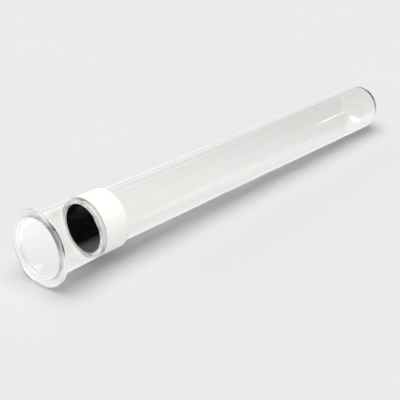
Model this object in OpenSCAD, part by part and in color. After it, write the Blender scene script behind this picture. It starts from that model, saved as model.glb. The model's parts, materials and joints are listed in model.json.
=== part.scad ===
// Closed-end flanged glass sleeve with a two-part light shield: a cream band
// pushed over the tube and a thin black sleeve pushed into its bore.
// The tube axis is +X. The origin is the centre of the mouth, in the plane of
// the flange's front face, and the domed end points along +X. Millimetres.

/* [Barrel] */
// Outside diameter of the long tube
barrel_od = 45; // [42:0.5:46]
// Wall thickness of the long tube and the domed end
wall = 2.2; // [1.8:0.1:2.6]
// From the flange's front face to the tip of the domed end
overall_length = 443.3; // [200:0.1:600]

/* [Domed end] */
// Outside radius of the bend between the tube and the crown
knuckle_r = 15; // [10:0.5:18]
// Outside radius of the crown
crown_r = 27; // [24:0.5:40]

/* [Neck] */
// Inside diameter of the wide neck
neck_bore_d = 48.2; // [46:0.1:48.4]
// Outside diameter of the neck where it leaves the flange
neck_od_front = 52.2; // [51.8:0.1:54]
// Outside diameter of the neck at the shoulder
neck_od_back = 50.6; // [50.4:0.1:51.6]
// From the flange's front face to the step inside the shoulder
neck_depth = 44.1; // [30:0.1:80]
// Thickness of the shoulder between the neck and the long tube
shoulder_t = 3.4; // [2:0.1:5]

/* [Flange] */
// Outside diameter of the flange
flange_od = 63; // [62:0.5:72]
// Thickness of the flange
flange_t = 3.5; // [3.2:0.1:6]
// Rounding of the flange's outer edges
rim_r = 1.5; // [0.5:0.1:1.5]
// Rounding of the mouth's inner edge
mouth_r = 1.4; // [1:0.1:3]
// Fillet between the flange's back face and the neck
root_r = 2.5; // [1:0.1:2.5]

/* [Light shield] */
// Outside diameter of the cream band
band_od = 50.2; // [48.5:0.1:50.6]
// Length of the cream band
band_length = 22.9; // [10:0.1:60]
// Small bevel on the band's outer edges
band_bevel = 0.3; // [0.1:0.1:0.6]
// Gap left between the shoulder and the band
shoulder_gap = 0.2; // [0.1:0.05:0.5]
// Length of the black sleeve, from the step
sleeve_length = 28.7; // [10:0.1:60]
// Thickness of the black sleeve
sleeve_t = 0.3; // [0.2:0.05:0.8]
// Radial clearance of the band on the tube, and of the sleeve in its bore
slide_clearance = 0.05; // [0.02:0.01:0.1]

/* [Hidden] */
$fn = 128;

glass_colour = [0.80, 0.88, 0.90, 0.55];
cream_colour = [0.97, 0.96, 0.89];
black_colour = [0.06, 0.06, 0.06];

// Radii, all from the driving diameters
barrel_r = barrel_od / 2;
bore_r = barrel_r - wall;
neck_bore_r = neck_bore_d / 2;
neck_front_r = neck_od_front / 2;
neck_back_r = neck_od_back / 2;
flange_r = flange_od / 2;
band_r = band_od / 2;
band_bore_r = barrel_r + slide_clearance;
sleeve_outer_r = bore_r - slide_clearance;
sleeve_bore_r = sleeve_outer_r - sleeve_t;
step_corner_r = 1.2;
step_edge_r = 0.6;
shoulder_edge_r = 0.8;

// Stations along the axis
neck_start = flange_t + root_r;
barrel_start = neck_depth + shoulder_t;
band_start = barrel_start + shoulder_gap;
band_end = band_start + band_length;

// The crown's centre lies on the axis, behind the plane where the bend begins
crown_setback = sqrt(pow(crown_r - knuckle_r, 2) - pow(barrel_r - knuckle_r, 2));
dome_height = crown_r - crown_setback;
dome_start = overall_length - dome_height;

// Turns a half-section about the tube axis: its X is the radius, its Y the station
module lathe() {
    rotate([0, 90, 0])
        rotate_extrude()
            children();
}

// Half-section of a plain ring between two radii and two stations
module ring_section(inner, outer, from, to) {
    translate([inner, from])
        square([outer - inner, to - from]);
}

// What a rounded corner takes away. The corner is at (at_r, at_x), and the
// body lies on the side that side_r and side_x (each 1 or -1) point to.
module corner_waste(at_r, at_x, side_r, side_x, radius) {
    overrun = 0.2;
    translate([at_r, at_x])
        mirror([side_r < 0 ? 1 : 0, 0])
            mirror([0, side_x < 0 ? 1 : 0])
                difference() {
                    translate([-overrun, -overrun])
                        square(radius + overrun);
                    translate([radius, radius])
                        circle(radius);
                }
}

// What a concave fillet adds in the corner at (at_r, at_x)
module fillet_fill(at_r, at_x, side_r, side_x, radius) {
    translate([at_r, at_x])
        mirror([side_r < 0 ? 1 : 0, 0])
            mirror([0, side_x < 0 ? 1 : 0])
                difference() {
                    square(radius);
                    translate([radius, radius])
                        circle(radius);
                }
}

// Half-section of the solid inside a domed end that is set in by inset
module dome_section(inset) {
    bend_r = knuckle_r - inset;
    cap_r = crown_r - inset;
    bend_centre = [barrel_r - knuckle_r, dome_start];
    crown_centre = [0, dome_start - crown_setback];
    reach = 2 * crown_r / (crown_r - knuckle_r);
    far_point = crown_centre + reach * (bend_centre - crown_centre);
    intersection() {
        ring_section(0, barrel_r, dome_start, overall_length);
        union() {
            translate(bend_centre)
                circle(bend_r);
            intersection() {
                translate(crown_centre)
                    circle(cap_r);
                polygon([crown_centre, far_point, [0, far_point[1]]]);
            }
        }
    }
}

// Flat pressed rim with a rounded mouth and a fillet that runs into the neck
module mouth_flange() {
    color(glass_colour)
        lathe() {
            difference() {
                union() {
                    ring_section(neck_bore_r, flange_r, 0, flange_t);
                    ring_section(neck_bore_r, neck_front_r, 0, neck_start);
                    fillet_fill(neck_front_r, flange_t, 1, 1, root_r);
                }
                corner_waste(neck_bore_r, 0, 1, 1, mouth_r);
                corner_waste(flange_r, 0, -1, 1, rim_r);
                corner_waste(flange_r, flange_t, -1, -1, rim_r);
            }
        }
}

// Wide neck: a straight bore under a slightly tapered outside
module neck_tube() {
    color(glass_colour)
        lathe()
            polygon([
                [neck_bore_r, neck_start],
                [neck_front_r, neck_start],
                [neck_back_r, neck_depth - step_corner_r],
                [neck_bore_r, neck_depth - step_corner_r]
            ]);
}

// Annular step between the neck and the narrower long tube
module shoulder_ring() {
    color(glass_colour)
        lathe() {
            difference() {
                union() {
                    ring_section(bore_r, neck_back_r, neck_depth, barrel_start);
                    ring_section(neck_bore_r, neck_back_r,
                                 neck_depth - step_corner_r, neck_depth);
                    fillet_fill(neck_bore_r, neck_depth, -1, -1, step_corner_r);
                }
                corner_waste(bore_r, neck_depth, 1, 1, step_edge_r);
                corner_waste(neck_back_r, barrel_start, -1, -1, shoulder_edge_r);
            }
        }
}

// Long straight tube
module barrel_tube() {
    color(glass_colour)
        lathe()
            ring_section(bore_r, barrel_r, barrel_start, dome_start);
}

// Closed end: a bend and a slightly flattened crown of even wall thickness
module end_dome() {
    color(glass_colour)
        lathe()
            difference() {
                dome_section(0);
                dome_section(wall);
            }
}

// Opaque band with a close sliding fit on the outside of the tube, flush with the neck
module shield_band() {
    color(cream_colour)
        lathe()
            polygon([
                [band_bore_r, band_start],
                [band_r - band_bevel, band_start],
                [band_r, band_start + band_bevel],
                [band_r, band_end - band_bevel],
                [band_r - band_bevel, band_end],
                [band_bore_r, band_end]
            ]);
}

// Thin sleeve with a close sliding fit in the bore, black inside, flush with the step
module shield_sleeve() {
    color(black_colour)
        lathe()
            ring_section(sleeve_bore_r, sleeve_outer_r, neck_depth, neck_depth + sleeve_length);
}

mouth_flange();
neck_tube();
shoulder_ring();
barrel_tube();
end_dome();
shield_band();
shield_sleeve();
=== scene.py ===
"""Looks for the closed-end flanged glass sleeve and its two-part light shield.

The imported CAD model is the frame: +X runs along the tube from the open mouth to the
domed end, +Z is up, and the origin is the centre of the mouth. Everything is in metres.
"""
import json
import math

import bpy
from mathutils import Matrix, Vector, noise


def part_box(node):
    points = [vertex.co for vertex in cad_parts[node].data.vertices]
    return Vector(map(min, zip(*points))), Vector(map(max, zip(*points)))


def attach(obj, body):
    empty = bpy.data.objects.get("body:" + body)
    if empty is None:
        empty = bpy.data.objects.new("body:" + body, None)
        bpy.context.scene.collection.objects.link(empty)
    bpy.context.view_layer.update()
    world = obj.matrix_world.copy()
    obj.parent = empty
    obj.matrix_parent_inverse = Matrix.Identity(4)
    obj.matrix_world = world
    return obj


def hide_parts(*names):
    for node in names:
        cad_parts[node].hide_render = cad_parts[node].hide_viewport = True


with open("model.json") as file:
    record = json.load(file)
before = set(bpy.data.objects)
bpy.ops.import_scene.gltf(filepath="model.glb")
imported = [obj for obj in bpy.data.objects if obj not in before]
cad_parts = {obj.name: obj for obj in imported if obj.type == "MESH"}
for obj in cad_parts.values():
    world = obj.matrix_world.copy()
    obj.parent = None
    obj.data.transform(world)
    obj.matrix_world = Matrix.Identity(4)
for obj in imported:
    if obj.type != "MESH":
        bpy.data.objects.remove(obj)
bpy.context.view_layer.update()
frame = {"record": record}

MM = 0.001
MOUNTS = {mount["name"]: mount for mount in frame["record"]["mounts"]}

# Roundings and clearances, as in the CAD model
MOUTH_ROUND = 1.4 * MM
RIM_ROUND = 1.5 * MM
ROOT_FILLET = 2.5 * MM
STEP_FILLET = 1.2 * MM
STEP_ROUND = 0.6 * MM
SHOULDER_ROUND = 0.8 * MM
KNUCKLE = 15.0 * MM
CROWN = 27.0 * MM
SLIDE_CLEARANCE = 0.05 * MM
BAND_ROUND = 0.3 * MM
SLEEVE_ROUND = 0.12 * MM

# How finely the pieces are turned: sides round the tube, and rings along it
SIDES = 256
GLASS_SPACING = 3.0 * MM
SHIELD_SPACING = 1.5 * MM

# Points closer together than SAME_POINT are one point, and a radius under ON_AXIS is none
SAME_POINT = 1e-7
ON_AXIS = 1e-6

# Light paths inside thick glass are long: fewer bounces turn its edges black
LIGHT_BOUNCES = 256

# The camera: where it stands, its heading, pitch and roll in degrees, and its focal length
# in millimetres
CAMERA_AT = (-0.3874, -0.5044, 0.3426)
CAMERA_TURN = (41.5556, 25.6721, 0.899)
CAMERA_LENS = 85.97

# Lights: the direction to each, its energy, and how wide it looks in degrees
KEY_LIGHT = ((-0.08, 0.02, 0.99), 2.92, 60)
FILL_LIGHT = ((-0.50, -0.84, 0.20), 1.15, 40)
SPARK_LIGHT = ((0.783, -0.500, 0.370), 0.004, 2)

# Directions that the studio's pattern is laid out along. ACROSS_TUBE is at right angles to
# the plane through the camera and the tube's axis.
DOWN = (0, 0, -1)
FAR_SIDE = (0, 1, 0)
DOME_END = (1, 0, 0)
LOW_FAR_SIDE = (0, 0.74, -0.67)
ACROSS_TUBE = (0, 0.562, 0.827)


# ---------------------------------------------------------------- meshes

def arc(centre, radius, start_deg, end_deg, steps):
    """Points (x, r) on an arc. 0 degrees points along the tube and 90 degrees outwards."""
    points = []
    for i in range(steps + 1):
        angle = math.radians(start_deg + (end_deg - start_deg) * i / steps)
        points.append((centre[0] + radius * math.cos(angle),
                       centre[1] + radius * math.sin(angle)))
    return points


def spaced(start, end, spacing):
    """Points on a straight stretch, both ends left out."""
    length = math.dist(start, end)
    count = max(1, round(length / spacing))
    return [(start[0] + (end[0] - start[0]) * i / count,
             start[1] + (end[1] - start[1]) * i / count) for i in range(1, count)]


def path(stretches, spacing):
    """Joins stretches of points with straight runs that are divided every spacing."""
    points = []
    for stretch in stretches:
        if points and math.dist(points[-1], stretch[0]) > SAME_POINT:
            points += spaced(points[-1], stretch[0], spacing)
        for point in stretch:
            if not points or math.dist(points[-1], point) > SAME_POINT:
                points.append(point)
    return points


def lathe(name, profile, closed, shift=None):
    """Turns (x, r) points about the X axis into a mesh object.

    A closed profile makes a ring, and an open one starts and ends on the axis.
    shift(x, r, angle) gives a new (x, r) for a point, for hand-made unevenness.
    """
    vertices, rings, faces = [], [], []
    for x, r in profile:
        on_axis = r < ON_AXIS
        ring = []
        for k in range(1 if on_axis else SIDES):
            angle = 2 * math.pi * k / SIDES
            px, pr = shift(x, r, angle) if shift and not on_axis else (x, r)
            ring.append(len(vertices))
            vertices.append((px, pr * math.cos(angle), pr * math.sin(angle)))
        rings.append(ring)
    next_rings = rings[1:] + rings[:1] if closed else rings[1:]
    for a, b in zip(rings, next_rings):
        for k in range(SIDES):
            corners = [a[k % len(a)], b[k % len(b)], b[(k + 1) % len(b)], a[(k + 1) % len(a)]]
            faces.append(list(dict.fromkeys(corners)))
    mesh = bpy.data.meshes.new(name)
    mesh.from_pydata(vertices, [], faces)
    mesh.validate()
    mesh.shade_smooth()
    piece = bpy.data.objects.new(name, mesh)
    bpy.context.scene.collection.objects.link(piece)
    return piece


def glass_profile():
    """The whole glass wall as one line: the outside from dome to mouth, then the bore back."""
    flange_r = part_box("mouth_flange")[1].z
    flange_t = MOUNTS["flange_back"]["pos_m"][0]
    neck_start, neck_front_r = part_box("neck_tube")[0].x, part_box("neck_tube")[1].z
    neck_back_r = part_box("shoulder_ring")[1].z
    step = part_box("shield_sleeve")[0].x
    barrel_start, barrel_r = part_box("barrel_tube")[0].x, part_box("barrel_tube")[1].z
    dome_start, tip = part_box("end_dome")[0].x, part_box("end_dome")[1].x
    neck_bore = MOUNTS["neck_bore"]["dims"]["r_mm"] * MM
    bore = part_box("shield_sleeve")[1].z + SLIDE_CLEARANCE
    wall = barrel_r - bore
    taper_end = step - STEP_FILLET

    bend = (dome_start, barrel_r - KNUCKLE)
    crown = (tip - CROWN, 0.0)
    bend_end = math.degrees(math.atan2(bend[1], bend[0] - crown[0]))
    outside = [
        arc(crown, CROWN, 0, bend_end, 20),
        arc(bend, KNUCKLE, bend_end, 90, 20),
        [(barrel_start, barrel_r)],
        arc((barrel_start - SHOULDER_ROUND, neck_back_r - SHOULDER_ROUND),
            SHOULDER_ROUND, 0, 90, 8),
        [(taper_end, neck_back_r), (neck_start, neck_front_r)],
        arc((flange_t + ROOT_FILLET, neck_front_r + ROOT_FILLET), ROOT_FILLET, 270, 180, 12),
        arc((flange_t - RIM_ROUND, flange_r - RIM_ROUND), RIM_ROUND, 0, 90, 10),
        arc((RIM_ROUND, flange_r - RIM_ROUND), RIM_ROUND, 90, 180, 10),
        arc((MOUTH_ROUND, neck_bore + MOUTH_ROUND), MOUTH_ROUND, 180, 270, 12),
    ]
    inside = [
        arc((taper_end, neck_bore - STEP_FILLET), STEP_FILLET, 90, 0, 8),
        arc((step + STEP_ROUND, bore + STEP_ROUND), STEP_ROUND, 180, 270, 6),
        arc(bend, KNUCKLE - wall, 90, bend_end, 20),
        arc(crown, CROWN - wall, bend_end, 0, 20),
    ]
    return path(outside + inside, GLASS_SPACING)


def glass_unevenness(bore):
    """Drawn and flame-worked glass is never quite true: its outside waves inwards a little."""
    depth, wave_length, lobes = 0.10 * MM, 70 * MM, 1.6

    def shift(x, r, angle):
        if r < bore + SLIDE_CLEARANCE:
            return x, r
        place = (x / wave_length, lobes * math.cos(angle), lobes * math.sin(angle))
        return x, r - depth * (0.5 + 0.5 * noise.noise(place))

    return shift


def make_glass():
    """The tube, its neck, flange and domed end, fused into one piece as real glass is."""
    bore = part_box("shield_sleeve")[1].z + SLIDE_CLEARANCE
    piece = lathe("glass_sleeve", glass_profile(), closed=False, shift=glass_unevenness(bore))
    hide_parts("mouth_flange", "neck_tube", "shoulder_ring", "barrel_tube", "end_dome")
    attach(piece, "glass")
    piece.data.materials.append(glass_material())


def ring_profile(x0, x1, r0, r1, rounding):
    """A rectangular ring's section with four rounded corners."""
    return path([
        arc((x0 + rounding, r0 + rounding), rounding, 180, 270, 5),
        arc((x1 - rounding, r0 + rounding), rounding, 270, 360, 5),
        arc((x1 - rounding, r1 - rounding), rounding, 0, 90, 5),
        arc((x0 + rounding, r1 - rounding), rounding, 90, 180, 5),
    ], SHIELD_SPACING)


def make_band():
    """The cream band, pushed over the tube from the domed end."""
    low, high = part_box("shield_band")
    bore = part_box("barrel_tube")[1].z + SLIDE_CLEARANCE
    profile = ring_profile(low.x, high.x, bore, high.z, BAND_ROUND)
    band = lathe("cream_band", profile, closed=True)
    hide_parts("shield_band")
    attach(band, "band")
    band.data.materials.append(cream_material())


def make_sleeve():
    """The sleeve in the bore: a white film tube whose inner face is printed black."""
    low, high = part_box("shield_sleeve")
    bore = MOUNTS["sleeve_bore"]["dims"]["r_mm"] * MM
    profile = ring_profile(low.x, high.x, bore, high.z, SLEEVE_ROUND)
    sleeve = lathe("black_sleeve", profile, closed=True)
    sleeve.data.materials.append(black_material())
    sleeve.data.materials.append(film_material())
    print_depth = 0.2 * MM
    for face in sleeve.data.polygons:
        if math.hypot(face.center.y, face.center.z) > bore + print_depth:
            face.material_index = 1
    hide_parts("shield_sleeve")
    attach(sleeve, "sleeve")


# ---------------------------------------------------------------- materials

def new_material(name):
    """An empty node material and its Principled shader."""
    material = bpy.data.materials.new(name)
    material.use_nodes = True
    shader = material.node_tree.nodes["Principled BSDF"]
    return material, material.node_tree, shader


def add_node(tree, kind, **values):
    """A new node. Keys name its properties, and keys with a leading "in_" name its inputs."""
    node = tree.nodes.new(kind)
    for key, value in values.items():
        if key.startswith("in_"):
            node.inputs[key[3:].replace("_", " ")].default_value = value
        else:
            setattr(node, key, value)
    return node


def stretched(tree, scale):
    """The object's own coordinates, in metres, times a scale for each axis."""
    coords = add_node(tree, "ShaderNodeTexCoord")
    mapping = add_node(tree, "ShaderNodeMapping")
    mapping.inputs["Scale"].default_value = scale
    tree.links.new(coords.outputs["Object"], mapping.inputs["Vector"])
    return mapping.outputs["Vector"]


def noise_field(tree, vector, scale, detail=3.0, roughness=0.5):
    """A noise texture's value output."""
    texture = add_node(tree, "ShaderNodeTexNoise", in_Scale=scale, in_Detail=detail,
                       in_Roughness=roughness)
    tree.links.new(vector, texture.inputs["Vector"])
    return texture.outputs["Fac"]


def remapped(tree, value, low, high, to_low, to_high):
    """A value's range low..high mapped to to_low..to_high, smoothly and clamped."""
    node = add_node(tree, "ShaderNodeMapRange", interpolation_type="SMOOTHSTEP")
    for name, number in (("From Min", low), ("From Max", high),
                         ("To Min", to_low), ("To Max", to_high)):
        node.inputs[name].default_value = number
    tree.links.new(value, node.inputs["Value"])
    return node.outputs["Result"]


def math_node(tree, operation, a, b):
    """Combines two values, each a socket or a number."""
    node = add_node(tree, "ShaderNodeMath", operation=operation)
    for socket, value in ((node.inputs[0], a), (node.inputs[1], b)):
        if isinstance(value, (int, float)):
            socket.default_value = value
        else:
            tree.links.new(value, socket)
    return node.outputs["Value"]


def bump(tree, height, distance, strength, normal=None):
    """A bump whose height is in units of distance."""
    node = add_node(tree, "ShaderNodeBump", in_Strength=strength, in_Distance=distance)
    tree.links.new(height, node.inputs["Height"])
    if normal:
        tree.links.new(normal, node.inputs["Normal"])
    return node.outputs["Normal"]


def glass_material():
    """Clear drawn glass: fine draw lines, faint waves, and a ground face on the flange."""
    material, tree, shader = new_material("clear_glass")
    shader.inputs["Base Color"].default_value = (0.992, 0.990, 0.984, 1)
    shader.inputs["Transmission Weight"].default_value = 1.0
    shader.inputs["IOR"].default_value = 1.46

    split = add_node(tree, "ShaderNodeSeparateXYZ")
    coords = add_node(tree, "ShaderNodeTexCoord")
    tree.links.new(coords.outputs["Object"], split.inputs[0])
    seat = remapped(tree, split.outputs["X"], 0.02 * MM, 0.12 * MM, 1.0, 0.0)
    grinding = noise_field(tree, stretched(tree, (900, 900, 900)), 1.0, 4.0)
    ground = math_node(tree, "MULTIPLY", seat, remapped(tree, grinding, 0.3, 0.7, 0.38, 0.50))
    smears = noise_field(tree, stretched(tree, (14, 40, 40)), 1.0, 4.0)
    polish = remapped(tree, smears, 0.50, 0.72, 0.0, 0.035)
    tree.links.new(math_node(tree, "MAXIMUM", ground, polish), shader.inputs["Roughness"])

    draw_lines = noise_field(tree, stretched(tree, (3, 420, 420)), 1.0, 3.0)
    waves = noise_field(tree, stretched(tree, (9, 55, 55)), 1.0, 2.0)
    normal = bump(tree, waves, 0.25 * MM, 0.35)
    tree.links.new(bump(tree, draw_lines, 0.02 * MM, 0.35, normal), shader.inputs["Normal"])
    return material


def cream_material():
    """Matt cream plastic, mottled, with a painted warm cast on top and painted shade mixed
    with grime at its ends.
    """
    material, tree, shader = new_material("cream_shield")
    low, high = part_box("shield_band")
    mottle = noise_field(tree, stretched(tree, (130, 130, 130)), 1.0, 5.0, 0.6)
    split = add_node(tree, "ShaderNodeSeparateXYZ")
    coords = add_node(tree, "ShaderNodeTexCoord")
    tree.links.new(coords.outputs["Object"], split.inputs[0])
    # Painted light: the top is tinted yellower as a painted warm cast from the light above,
    # added to the mottle's random tone
    top = remapped(tree, split.outputs["Z"], 0.2 * high.z, high.z, 0.0, 0.55)
    top_cast_and_mottle = math_node(tree, "ADD", top, remapped(tree, mottle, 0.35, 0.75, 0.0, 0.40))
    tint = add_node(tree, "ShaderNodeMix", data_type="RGBA")
    tint.inputs["A"].default_value = (0.905, 0.902, 0.872, 1)
    tint.inputs["B"].default_value = (0.870, 0.850, 0.735, 1)
    tree.links.new(top_cast_and_mottle, tint.inputs["Factor"])

    # Painted shade: the last 0.9 mm at each end of the band is darkened, broken up by noise,
    # as painted shade where the band meets the glass, mixed with grime
    middle, half = (low.x + high.x) / 2, (high.x - low.x) / 2
    offset = math_node(tree, "SUBTRACT", split.outputs["X"], middle)
    from_middle = math_node(tree, "ABSOLUTE", offset, 0.0)
    end_shade_mask = remapped(tree, from_middle, half - 0.9 * MM, half, 0.0, 1.0)
    end_shade_noise = noise_field(tree, stretched(tree, (600, 260, 260)), 1.0, 4.0)
    end_shade_and_grime = math_node(tree, "MULTIPLY", end_shade_mask, remapped(tree, end_shade_noise, 0.40, 0.65, 0.10, 0.5))
    end_shaded_tint = add_node(tree, "ShaderNodeMix", data_type="RGBA")
    end_shaded_tint.inputs["B"].default_value = (0.50, 0.48, 0.42, 1)
    tree.links.new(tint.outputs["Result"], end_shaded_tint.inputs["A"])
    tree.links.new(end_shade_and_grime, end_shaded_tint.inputs["Factor"])
    tree.links.new(end_shaded_tint.outputs["Result"], shader.inputs["Base Color"])

    tree.links.new(remapped(tree, mottle, 0.3, 0.7, 0.48, 0.66), shader.inputs["Roughness"])
    grain = noise_field(tree, stretched(tree, (1800, 1800, 1800)), 1.0, 3.0)
    turning = noise_field(tree, stretched(tree, (2600, 30, 30)), 1.0, 2.0)
    normal = bump(tree, grain, 0.03 * MM, 0.5)
    tree.links.new(bump(tree, turning, 0.02 * MM, 0.4, normal), shader.inputs["Normal"])
    return material


def black_material():
    """The sleeve's printed inner face: black with a faint sheen, streaked along the tube."""
    material, tree, shader = new_material("black_print")
    streaks = noise_field(tree, stretched(tree, (25, 500, 500)), 1.0, 4.0)
    tint = add_node(tree, "ShaderNodeMix", data_type="RGBA")
    tint.inputs["A"].default_value = (0.0012, 0.0012, 0.0014, 1)
    tint.inputs["B"].default_value = (0.0040, 0.0038, 0.0045, 1)
    tree.links.new(streaks, tint.inputs["Factor"])
    tree.links.new(tint.outputs["Result"], shader.inputs["Base Color"])
    tree.links.new(remapped(tree, streaks, 0.3, 0.7, 0.20, 0.34), shader.inputs["Roughness"])
    shader.inputs["Specular IOR Level"].default_value = 0.12
    tree.links.new(bump(tree, streaks, 0.02 * MM, 0.3), shader.inputs["Normal"])
    return material


def film_material():
    """The sleeve's white outer face. The faint glow stands for the light that the thin band
    over it lets through."""
    material, tree, shader = new_material("white_film")
    cloud = noise_field(tree, stretched(tree, (90, 90, 90)), 1.0, 3.0)
    tint = add_node(tree, "ShaderNodeMix", data_type="RGBA")
    tint.inputs["A"].default_value = (0.80, 0.82, 0.84, 1)
    tint.inputs["B"].default_value = (0.90, 0.91, 0.91, 1)
    tree.links.new(cloud, tint.inputs["Factor"])
    tree.links.new(tint.outputs["Result"], shader.inputs["Base Color"])
    tree.links.new(remapped(tree, cloud, 0.3, 0.7, 0.35, 0.55), shader.inputs["Roughness"])
    shader.inputs["Emission Color"].default_value = (0.93, 0.97, 1.0, 1)
    shader.inputs["Emission Strength"].default_value = 0.15
    return material


def floor_material():
    """A pale table top with a barely visible grain."""
    material, tree, shader = new_material("pale_floor")
    cloud = noise_field(tree, stretched(tree, (9, 9, 9)), 1.0, 3.0)
    tint = add_node(tree, "ShaderNodeMix", data_type="RGBA")
    tint.inputs["A"].default_value = (0.640, 0.648, 0.662, 1)
    tint.inputs["B"].default_value = (0.652, 0.660, 0.674, 1)
    tree.links.new(cloud, tint.inputs["Factor"])
    tree.links.new(tint.outputs["Result"], shader.inputs["Base Color"])
    shader.inputs["Roughness"].default_value = 1.0
    shader.inputs["Specular IOR Level"].default_value = 0.0
    return material


# ---------------------------------------------------------------- stage

def make_floor():
    """A pale table: a plane that touches the flange's rim and the underside of the domed end.

    Light that has passed through the glass or bounced off it doesn't meet the floor. It meets
    the lower half of the studio, as over a light table, so that the object's own shadow
    doesn't grey the glass.
    """
    flange_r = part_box("mouth_flange")[1].z
    barrel_r, dome_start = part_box("barrel_tube")[1].z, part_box("end_dome")[0].x
    rim_x = MOUNTS["flange_back"]["pos_m"][0] / 2
    lean = math.atan2(flange_r - barrel_r, dome_start - rim_x)
    size, gap = 40.0, 0.02 * MM
    bpy.ops.mesh.primitive_plane_add(size=size)
    floor = bpy.context.object
    floor.name = "floor"
    floor.matrix_world = (Matrix.Translation((rim_x, 0, -flange_r - gap))
                          @ Matrix.Rotation(-lean, 4, "Y"))
    floor.data.materials.append(floor_material())
    floor.visible_transmission = False
    floor.visible_glossy = False


def direction_blend(tree, coords, direction, start, end, low, high):
    """Goes from low to high as the view direction turns towards direction."""
    dot = add_node(tree, "ShaderNodeVectorMath", operation="DOT_PRODUCT")
    dot.inputs[1].default_value = direction
    tree.links.new(coords, dot.inputs[0])
    return remapped(tree, dot.outputs["Value"], start, end, low, high)


def make_world():
    """The studio around the glass. The far table is bright, and so is the far backdrop up to
    about 30 degrees above the horizon. Overhead and the camera's side above the horizon are
    dim, so that the near glass wall reflects little and the black print shows as black."""
    world = bpy.data.worlds.new("studio")
    bpy.context.scene.world = world
    world.use_nodes = True
    tree = world.node_tree
    tree.nodes.clear()
    out = add_node(tree, "ShaderNodeOutputWorld")
    background = add_node(tree, "ShaderNodeBackground")
    background.inputs["Color"].default_value = (1.0, 0.995, 0.985, 1)
    coords = add_node(tree, "ShaderNodeTexCoord").outputs["Generated"]

    def blend(direction, start, end, low, high):
        return direction_blend(tree, coords, direction, start, end, low, high)

    def times(a, b):
        return math_node(tree, "MULTIPLY", a, b)

    def brighter(a, b):
        return math_node(tree, "MAXIMUM", a, b)

    # The far table: brightest at about the camera's pitch, and a little brighter still on
    # either side of the plane through the camera and the tube
    horizon = times(blend(DOWN, 0.0, 0.10, 0.0, 0.98), blend(FAR_SIDE, -0.10, 0.10, 0.0, 1.0))
    distance = times(blend(DOWN, 0.28, 0.44, 0.86, 1.0), blend(DOWN, 0.44, 0.55, 1.0, 0.86))
    beneath = tuple(-value for value in ACROSS_TUBE)
    strips = times(blend(ACROSS_TUBE, 0.070, 0.110, 1.0, 1.18),
                   blend(beneath, 0.030, 0.060, 1.0, 1.06))
    far_table = times(times(distance, horizon), strips)

    near_table = blend(DOWN, 0.0, 0.48, 0.0, 0.68)
    backdrop = blend(LOW_FAR_SIDE, 0.05, 0.30, 0.02, 0.78)

    # A floor under the brightness of every direction that doesn't run towards the domed end
    mouth_side = times(blend(DOME_END, 0.25, 0.45, 1.0, 0.0),
                       blend(DOWN, -0.05, 0.10, 0.30, 0.85))

    strength = brighter(brighter(backdrop, mouth_side), brighter(near_table, far_table))
    tree.links.new(strength, background.inputs["Strength"])
    tree.links.new(background.outputs["Background"], out.inputs["Surface"])


def make_sun(name, towards, energy, angle_deg):
    """A far light in the direction towards."""
    data = bpy.data.lights.new(name, "SUN")
    data.energy = energy
    data.angle = math.radians(angle_deg)
    sun = bpy.data.objects.new(name, data)
    bpy.context.scene.collection.objects.link(sun)
    sun.rotation_euler = Vector(towards).to_track_quat("Z", "Y").to_euler()
    return sun


def make_lights():
    """A broad key light overhead, whose soft shadow stays close to the object, a fill from the
    camera's side that casts no shadow and lights only matt surfaces, and a small, very weak
    lamp on the domed end's side for a faint glint."""
    make_sun("key", *KEY_LIGHT)
    fill = make_sun("fill", *FILL_LIGHT)
    fill.data.use_shadow = False
    fill.visible_glossy = False
    fill.visible_transmission = False
    make_sun("spark", *SPARK_LIGHT)


def make_camera():
    """A long lens from above the mouth's end, on the -Y side."""
    data = bpy.data.cameras.new("camera")
    data.sensor_width = 36.0
    data.lens = CAMERA_LENS
    data.clip_end = 100.0
    camera = bpy.data.objects.new("camera", data)
    bpy.context.scene.collection.objects.link(camera)
    heading, pitch, roll = (math.radians(angle) for angle in CAMERA_TURN)
    forward = Vector((math.cos(pitch) * math.cos(heading),
                      math.cos(pitch) * math.sin(heading), -math.sin(pitch)))
    turn = forward.to_track_quat("-Z", "Y").to_matrix().to_4x4()
    camera.matrix_world = (Matrix.Translation(Vector(CAMERA_AT)) @ turn
                           @ Matrix.Rotation(roll, 4, "Z"))
    bpy.context.scene.camera = camera


def set_light_paths():
    """Lets light run along inside the glass, as it does in a real tube wall."""
    cycles = bpy.context.scene.cycles
    cycles.max_bounces = LIGHT_BOUNCES
    cycles.transmission_bounces = LIGHT_BOUNCES
    cycles.glossy_bounces = LIGHT_BOUNCES


bpy.context.scene.view_settings.view_transform = "Standard"
make_camera()
make_world()
make_lights()
make_floor()
make_glass()
make_band()
make_sleeve()
set_light_paths()
